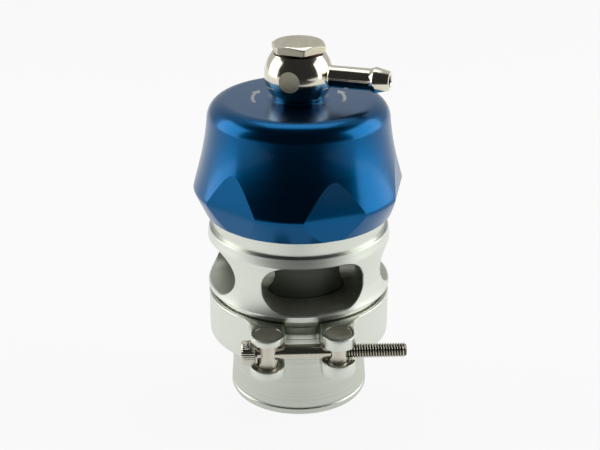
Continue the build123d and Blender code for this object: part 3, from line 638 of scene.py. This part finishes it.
def ear(side, low, high, hole_radius):
    """A flat ear with a hole. From the pin's centre, its edge lies at the nearest of: the round end
    (r = 4.5, on the outer half), the straight sides (4.5 / |cos a|), the ring (a circle about the axis), and on
    the side away from the gap a hollow fillet (a circle that touches both that side and the ring)."""
    turn = circle(240)
    c, s = np.cos(turn), np.sin(turn)
    sides = EAR_R / np.maximum(np.abs(c), 1e-6)
    x0, y0 = side * EAR_X, EAR_Y
    b = x0 * c + y0 * s
    to_ring = -b - np.sqrt(np.clip(b**2 - (x0**2 + y0**2 - 24.2**2), 0, None))
    meets = (s > 0) & (b**2 > x0**2 + y0**2 - 24.2**2)
    far = np.where(meets, to_ring, sides)
    blend_x = EAR_X + EAR_R + EAR_BLEND
    blend_y = -np.sqrt((RING_R + EAR_BLEND) ** 2 - blend_x**2)
    near = (side * blend_x - x0) * c + (blend_y - y0) * s
    inside = near**2 - ((side * blend_x - x0) ** 2 + (blend_y - y0) ** 2 - EAR_BLEND**2)
    to_blend = np.where(inside > 0, near - np.sqrt(np.clip(inside, 0, None)), far)
    past_side = (s > 0) & (c * side > 0) & (y0 + sides * s > blend_y)
    edge = np.where(s <= 0, EAR_R, np.where(past_side, np.minimum(to_blend, far), np.minimum(sides, far)))
    edge = np.minimum(edge, 12.0)
    rows = [(edge - 0.25, low), (edge - 0.08, low + 0.07), (edge, low + 0.25), (edge, high - 0.25),
            (edge - 0.08, high - 0.07), (edge - 0.25, high), (hole_radius + 0.2, high),
            (hole_radius + 0.05, high - 0.06), (hole_radius, high - 0.2), (hole_radius, low + 0.2),
            (hole_radius + 0.05, low + 0.06), (hole_radius + 0.2, low), (edge - 0.25, low)]
    return clamp_frame(np.stack([np.stack([x0 + r * c, y0 + r * s, np.full_like(c, z)], -1) for r, z in rows]))


for side, half_slot in ((-1, 3.6), (1, 2.25)):
    grids += [
        (ear(side, BOLT_Z + half_slot, 30.79, 3.55), 2, True, 0),
        (ear(side, 19.4, BOLT_Z - half_slot, 2.75), 3, True, 0),
    ]
make_piece("clamp_ring_turned", "valve_body", "clamp_ring", [turned_aluminium],
           grids, 34, ends)


# Clamp bolt: a knurled head with a hexagon socket, a smooth shank and a rolled thread

BOLT_START = -(EAR_X + 2.65 + 0.5) - 0.05
HEAD_R, HEAD_LENGTH, BOLT_R, BOLT_LENGTH, PITCH = 3.3, 3.6, 1.95, 39.2, 0.7


def bolt_points(radius, turn, along):
    """Points round the bolt's line: along x' in the clamp's frame, with the turn counted round it."""
    radius, turn, along = np.broadcast_arrays(radius, turn, along)
    return clamp_frame(np.stack([along, EAR_Y + radius * np.cos(turn), BOLT_Z + radius * np.sin(turn)], -1))


turn = circle(216)
knurl = 0.09 * np.abs((turn * 36 / tau) % 1 - 0.5) * 2
hexagon = 1.5 / np.cos((turn + tau / 12) % (tau / 6) - tau / 12)
face = BOLT_START - HEAD_LENGTH
rows = [(0 * turn, face + 2.2), (hexagon, face + 2.2), (hexagon, face + 0.15), (hexagon + 0.15, face),
        (2.75 + 0 * turn, face), (2.95 + 0 * turn, face + 0.06), (HEAD_R - knurl - 0.08, face + 0.45),
        (HEAD_R - knurl, face + 0.6), (HEAD_R - knurl, BOLT_START - 0.25),
        (HEAD_R - knurl - 0.15, BOLT_START - 0.05), (3.0 + 0 * turn, BOLT_START), (BOLT_R + 0.1, BOLT_START),
        (BOLT_R, BOLT_START + 0.1)]
head = np.stack([bolt_points(r, turn, x) for r, x in rows])
thread_start, tip = BOLT_START + 19.2, BOLT_START + BOLT_LENGTH
along = np.arange(thread_start, tip - 0.45, PITCH / 8)[:, None]
crest = np.abs((along / PITCH - turn / tau) % 1 - 0.5) * 2
fade = np.clip((along - thread_start) / 1.0, 0, 1)
thread_r = BOLT_R - 0.45 * fade * np.clip(1.2 * crest - 0.1, 0, 1)
shank = bolt_points(BOLT_R, turn, np.array([[BOLT_START + 0.1], [BOLT_START + 0.5], [thread_start]]))
thread = np.concatenate([
    bolt_points(thread_r, turn, along),
    bolt_points(np.array([[1.55], [1.45], [0.0]]), turn, np.array([[tip - 0.2], [tip], [tip]])),
])
make_piece("clamp_bolt_threaded", "clamp_bolt", "clamp_bolt", [satin_nickel, root_shaded_nickel],
           [(head, 0, True, 0), (shank, 0, True, 0), (thread, 0, True, 1)], 38)


# Banjo fitting: a ball with flats above and below, a ground flat in front and a barbed spout

BALL_Z, BALL_R, BALL_HALF = 91.55, 8.95, 5.75
ball_low, ball_high = BALL_Z - BALL_HALF, BALL_Z + BALL_HALF


def ball_radius(height):
    """r = sqrt(R² - (z - middle)²)."""
    return np.sqrt(BALL_R**2 - (height - BALL_Z) ** 2)


spout_azimuth = 73.7
first = radians(spout_azimuth - 135)
flat_hole = window(spout_azimuth - 90, BALL_Z, 2.75, 2.75, 36, 28)
tube_hole = window(spout_azimuth, BALL_Z, 2.85, 2.85, 36, 28)
levels = np.linspace(ball_high, ball_low, 29)
flat_rim = at_depth(flat_hole, on_wall(flat_hole, ball_radius))
flat_middle = flat_rim.mean(0)
tube_start = on_wall(tube_hole, ball_radius, 0.2)
profile = [(0.0, tube_start + 0.22), (0.0, 13.0), (0.0, 18.95), (0.03, 19.08), (0.4, 20.05), (0.45, 20.12),
           (0.45, 20.68), (0.42, 20.76), (-0.33, 23.9), (-0.42, 24.04), (-0.6, 24.1), (-1.3, 24.1),
           (-1.43, 23.95), (-1.45, 6.0), (-2.849, 5.9)]
spout = [at_depth(tube_hole, tube_start, 0.2)]
spout += [at_depth(tube_hole, np.ones_like(tube_start) * depth, grow) for grow, depth in profile]
grids = [
    (wall_round(flat_hole, ball_radius, first, first + tau / 4, ball_low, ball_high, rows=16), 1, True, 0),
    (np.stack([flat_middle + (flat_rim - flat_middle) * share for share in np.linspace(1, 0, 6)]), 2, True, 1),
    (wall_round(tube_hole, ball_radius, first + tau / 4, first + tau / 2, ball_low, ball_high, 0.2, rows=16),
     1, True, 0),
    (np.stack(spout), 1, True, 0),
]
back_columns = np.linspace(first + tau / 2, first + tau, 73)
grids.append((around(ball_radius(levels[:, None]), back_columns, levels[:, None]), 1, False, 0))
columns = np.concatenate([np.linspace(first, first + tau / 2, 72, endpoint=False), back_columns[:-1]])
edge_r = float(ball_radius(np.array(ball_high)))
core = np.array([(edge_r, ball_high), (4.25, ball_high), (4.05, ball_high - 0.2), (4.05, BALL_Z + 1.8),
                 (5.3, BALL_Z + 1.8), (5.3, BALL_Z - 1.8), (4.05, BALL_Z - 1.8), (4.05, ball_low + 0.2),
                 (4.25, ball_low), (edge_r, ball_low)])
grids.append((lathe(core, columns), 3, True, 0))
make_piece("banjo_ball_and_spout", "banjo", "banjo_body", [bright_nickel, ground_nickel],
           grids, 30)

# Banjo bolt: a low hexagon head under a cone, a ground top and a hollow shank
turn = circle(240)
from_flat = (turn - radians(9.0)) % (tau / 6) - tau / 12
ACROSS_FLATS = 13.0
hexagon = ACROSS_FLATS / 2 / np.cos(from_flat)
hexagon = hexagon - 0.35 * np.exp(-((tau / 12 - np.abs(from_flat)) / 0.035) ** 2)
HEAD_LOW, HEAD_HIGH, DISC_R = 97.8, 100.05, 6.1
slope = np.tan(radians(30))
rim = HEAD_HIGH - (hexagon - DISC_R) * slope
sides = np.stack([around(hexagon - 0.2, turn, HEAD_LOW), around(hexagon, turn, HEAD_LOW + 0.2),
                  around(hexagon, turn, rim - 0.12), around(hexagon - 0.05, turn, rim - 0.02),
                  around(hexagon - 0.15, turn, rim + 0.15 * slope)])
cone = np.stack([around(hexagon - 0.15, turn, rim + 0.15 * slope), around(DISC_R + 0.12, turn, HEAD_HIGH - 0.1),
                 around(DISC_R, turn, HEAD_HIGH - 0.02)])
disc = np.stack([around(DISC_R, turn, HEAD_HIGH - 0.02), around(DISC_R - 0.15, turn, HEAD_HIGH),
                 around(3.0, turn, HEAD_HIGH), around(0.0, turn, HEAD_HIGH)])
shank = np.array([(3.95, HEAD_LOW), (3.95, 80.85), (3.55, 80.45), (1.9, 80.45), (1.9, 93.35), (0.0, 93.35)])
under = np.concatenate([around(hexagon - 0.2, turn, HEAD_LOW)[None], lathe(shank, turn)])
make_piece("banjo_bolt_ground", "cap", "banjo_bolt", [bright_nickel, ground_nickel],
           [(sides, 1, True, 1), (cone, 1, True, 0), (disc, 2, True, 1), (under, 3, True, 0)], 26)

# Spring: a wire along a helix. Its foot rides on the piston.
turns, wire, mean_radius, spring_low, spring_high = 7.5, 1.0, 10.9, 33.0, 76.35
angle = np.linspace(0, turns * tau, 361)[:, None]
rise = spring_low + wire + (spring_high - spring_low - 2 * wire) * angle / (turns * tau)
round_wire = circle(14)
coil = around(mean_radius + wire * np.cos(round_wire), angle, rise + wire * np.sin(round_wire))
caps = [coil[0].mean(0) + 0 * coil[:1], coil, coil[-1].mean(0) + 0 * coil[:1]]
spring = make_piece("spring_wound", "piston", "spring", [zinc_steel],
                    [(np.concatenate(caps), 0, True, 0)])
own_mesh(spring)


# Floor, light and camera

scene = bpy.context.scene
floor_mesh = bpy.data.meshes.new("floor")
floor_mesh.from_pydata([(-1.2, -0.75, 0), (1.2, -0.75, 0), (1.2, 1.4, 0), (-1.2, 1.4, 0)], [], [(0, 1, 2, 3)])
floor = bpy.data.objects.new("floor", floor_mesh)
scene.collection.objects.link(floor)
table = bpy.data.materials.new("white_table")
table.use_nodes = True
tree = table.node_tree
tree.nodes.clear()
rays = add(tree, "ShaderNodeLightPath")
paper = add(tree, "ShaderNodeBsdfDiffuse", {"Color": (0.8, 0.8, 0.8, 1)})
white = add(tree, "ShaderNodeEmission", {"Color": (1, 1, 1, 1), "Strength": 1.0})
# In the metal the table is brighter to the sides, and dark where the photographer stands in front
position = add(tree, "ShaderNodeSeparateXYZ", {"Vector": add(tree, "ShaderNodeTexCoord").outputs["Object"]})
sideways = add(tree, "ShaderNodeMath", {0: position.outputs["X"]}, operation="ABSOLUTE")
shade = add(tree, "ShaderNodeMapRange", {"Value": sideways.outputs[0], "From Max": 0.06, "To Min": 0.8})
beside = add(tree, "ShaderNodeMapRange", {
    "Value": sideways.outputs[0], "From Min": 0.33, "From Max": 0.40, "To Min": 0.03,
})
near = add(tree, "ShaderNodeMapRange", {
    "Value": position.outputs["Y"], "From Min": -0.24, "From Max": -0.19, "To Min": 0.03,
})
ends_of_table = {0: beside.outputs["Result"], 1: near.outputs["Result"]}
open_table = add(tree, "ShaderNodeMath", ends_of_table, operation="MAXIMUM")
shaded_table = {0: shade.outputs["Result"], 1: open_table.outputs[0]}
brightness = add(tree, "ShaderNodeMath", shaded_table, operation="MULTIPLY")
mirrored = add(tree, "ShaderNodeEmission", {"Color": (1, 1, 1, 1), "Strength": brightness.outputs[0]})
seen = add(tree, "ShaderNodeMath", {0: rays.outputs["Is Camera Ray"], 1: 0.9}, operation="MULTIPLY")
glossy = add(tree, "ShaderNodeMath", {0: rays.outputs["Is Glossy Ray"], 1: 0.95}, operation="MULTIPLY")
direct = add(tree, "ShaderNodeMixShader", {"Fac": seen.outputs[0], 1: paper.outputs[0], 2: white.outputs[0]})
both = add(tree, "ShaderNodeMixShader", {
    "Fac": glossy.outputs[0], 1: direct.outputs[0], 2: mirrored.outputs[0],
})
add(tree, "ShaderNodeOutputMaterial", {"Surface": both.outputs[0]})
floor_mesh.materials.append(table)

world = bpy.data.worlds.new("studio")
scene.world = world
world.use_nodes = True
tree = world.node_tree
tree.nodes.clear()
rays = add(tree, "ShaderNodeLightPath")
toward = add(tree, "ShaderNodeSeparateXYZ", {"Vector": add(tree, "ShaderNodeTexCoord").outputs["Generated"]})
behind = add(tree, "ShaderNodeMapRange", {
    "Value": toward.outputs["Y"], "From Min": -0.05, "From Max": 0.35, "To Min": 0.03, "To Max": 0.6,
})
behind.interpolation_type = "SMOOTHSTEP"
room = add(tree, "ShaderNodeBackground", {"Color": behind.outputs["Result"], "Strength": 1.0})
backdrop = add(tree, "ShaderNodeBackground", {"Color": (1, 1, 1, 1), "Strength": 1.0})
shown = add(tree, "ShaderNodeMixShader", {
    "Fac": rays.outputs["Is Camera Ray"], 1: room.outputs[0], 2: backdrop.outputs[0],
})
add(tree, "ShaderNodeOutputWorld", {"Surface": shown.outputs[0]})


def softbox(name, azimuth, elevation, distance, width, height, radiance):
    """A flat light that faces the valve's middle, with power = radiance x pi x area."""
    light = bpy.data.lights.new(name, "AREA")
    light.shape = "RECTANGLE"
    light.size, light.size_y = width, height
    light.energy = radiance * np.pi * width * height
    lamp = bpy.data.objects.new(name, light)
    a, e = radians(azimuth), radians(elevation)
    offset = np.array([np.sin(a) * np.cos(e), -np.cos(a) * np.cos(e), np.sin(e)]) * distance
    lamp.location = offset + (0, 0, 0.05)
    lamp.rotation_euler = (tau / 4 - e, 0, a)
    scene.collection.objects.link(lamp)
    return lamp


softbox("left_box", -95, 15, 0.62, 0.46, 0.60, 2.3)
softbox("right_box", 93, 15, 0.62, 0.60, 0.60, 2.3)
softbox("top_box", 180, 75, 0.8, 0.6, 0.4, 1.5)

camera_data = bpy.data.cameras.new("camera")
camera_data.lens, camera_data.sensor_width = 72.0, 36.0
camera_data.clip_start, camera_data.clip_end = 0.01, 10.0
camera = bpy.data.objects.new("camera", camera_data)
camera.location = (0.00036, -0.2988, 0.182)
camera.rotation_euler = (radians(90 - 24.04), 0, 0)
scene.collection.objects.link(camera)
scene.camera = camera
scene.view_settings.view_transform = "Standard"
